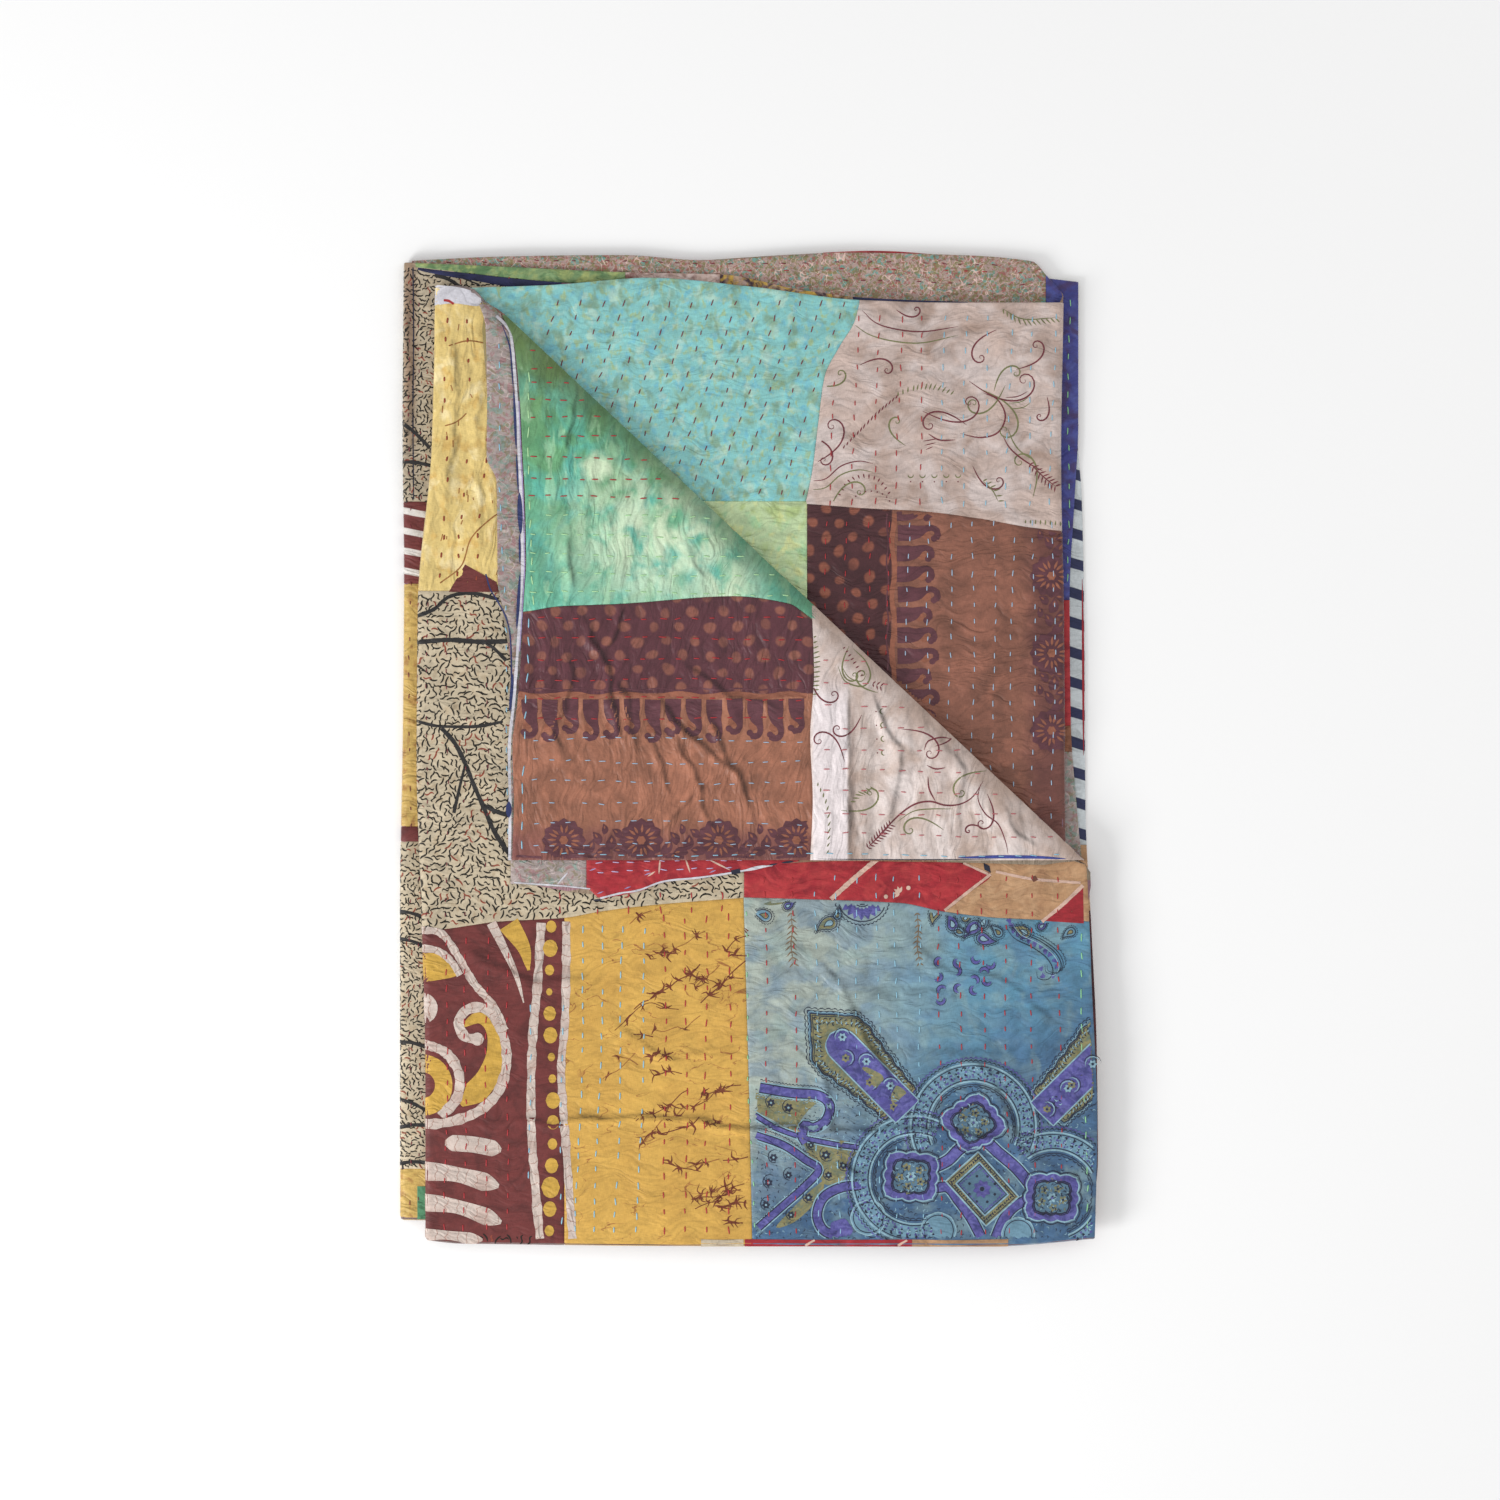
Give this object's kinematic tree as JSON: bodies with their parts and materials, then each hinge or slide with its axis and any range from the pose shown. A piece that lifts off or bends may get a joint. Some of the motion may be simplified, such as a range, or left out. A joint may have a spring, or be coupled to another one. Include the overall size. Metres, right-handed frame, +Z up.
{
  "type": "kantha quilt",
  "caption": "Folded patchwork quilt of running-stitched cotton, in half and then back and forth in four levels, one corner turned back.",
  "frame": {"origin": "under the middle of the folded quilt's outline, on the surface it lies on", "axes": "+Y from the bottom fold towards the top hems, +X to the right seen from above, +Z up"},
  "size_m": [0.5608, 0.7982, 0.0231],
  "materials": {
    "patched_cotton": "soft woven cotton patches, matt"
  },
  "bodies": {
    "root": {"quilt": "patched_cotton"}
  },
  "joints": []
}
